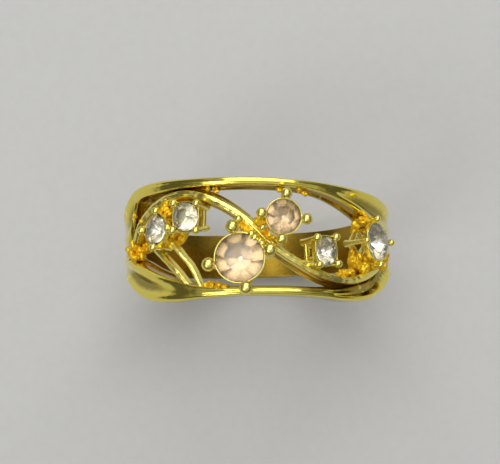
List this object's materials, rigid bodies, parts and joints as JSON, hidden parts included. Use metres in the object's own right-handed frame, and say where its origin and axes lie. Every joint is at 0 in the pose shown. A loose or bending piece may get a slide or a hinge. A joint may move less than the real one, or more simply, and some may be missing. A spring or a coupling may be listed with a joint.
{
  "type": "cocktail ring",
  "caption": "Openwork cocktail ring: a shank widening into two rails with a vine wire crossing between them and round stones in tall prong heads.",
  "frame": {"origin": "centre of the finger hole, halfway along the finger axis between the shank's sides", "axes": "+Y along the finger axis, +Z from the shank out through the jewelled face, +X across the face to the right when +Y is up"},
  "size_m": [0.0211, 0.0096, 0.022],
  "materials": {
    "gold_plate": "polished yellow gold plate over cast brass, matt and grainy in the recesses",
    "clear_crystal": "clear cut crystal with a silver foil back",
    "peach_crystal": "pale peach cut crystal with a foil back"
  },
  "bodies": {
    "root": {"centre_large_gallery": "gold_plate", "centre_large_prong_1": "gold_plate", "centre_large_prong_2": "gold_plate", "centre_large_prong_3": "gold_plate", "centre_large_prong_4": "gold_plate", "centre_large_seat": "gold_plate", "centre_large_stone": "peach_crystal", "centre_medium_gallery": "gold_plate", "centre_medium_prong_1": "gold_plate", "centre_medium_prong_2": "gold_plate", "centre_medium_prong_3": "gold_plate", "centre_medium_prong_4": "gold_plate", "centre_medium_seat": "gold_plate", "centre_medium_stone": "peach_crystal", "far_left_gallery": "gold_plate", "far_left_prong_1": "gold_plate", "far_left_prong_2": "gold_plate", "far_left_prong_3": "gold_plate", "far_left_prong_4": "gold_plate", "far_left_seat": "gold_plate", "far_left_stone": "clear_crystal", "far_right_gallery": "gold_plate", "far_right_prong_1": "gold_plate", "far_right_prong_2": "gold_plate", "far_right_prong_3": "gold_plate", "far_right_prong_4": "gold_plate", "far_right_seat": "gold_plate", "far_right_stone": "clear_crystal", "inner_stem": "gold_plate", "left_floor": "gold_plate", "left_gallery": "gold_plate", "left_prong_1": "gold_plate", "left_prong_2": "gold_plate", "left_prong_3": "gold_plate", "left_prong_4": "gold_plate", "left_seat": "gold_plate", "left_stone": "clear_crystal", "lower_rail": "gold_plate", "outer_stem": "gold_plate", "right_floor": "gold_plate", "right_gallery": "gold_plate", "right_prong_1": "gold_plate", "right_prong_2": "gold_plate", "right_prong_3": "gold_plate", "right_prong_4": "gold_plate", "right_seat": "gold_plate", "right_stone": "clear_crystal", "shank": "gold_plate", "upper_rail": "gold_plate", "vine": "gold_plate"}
  },
  "joints": []
}
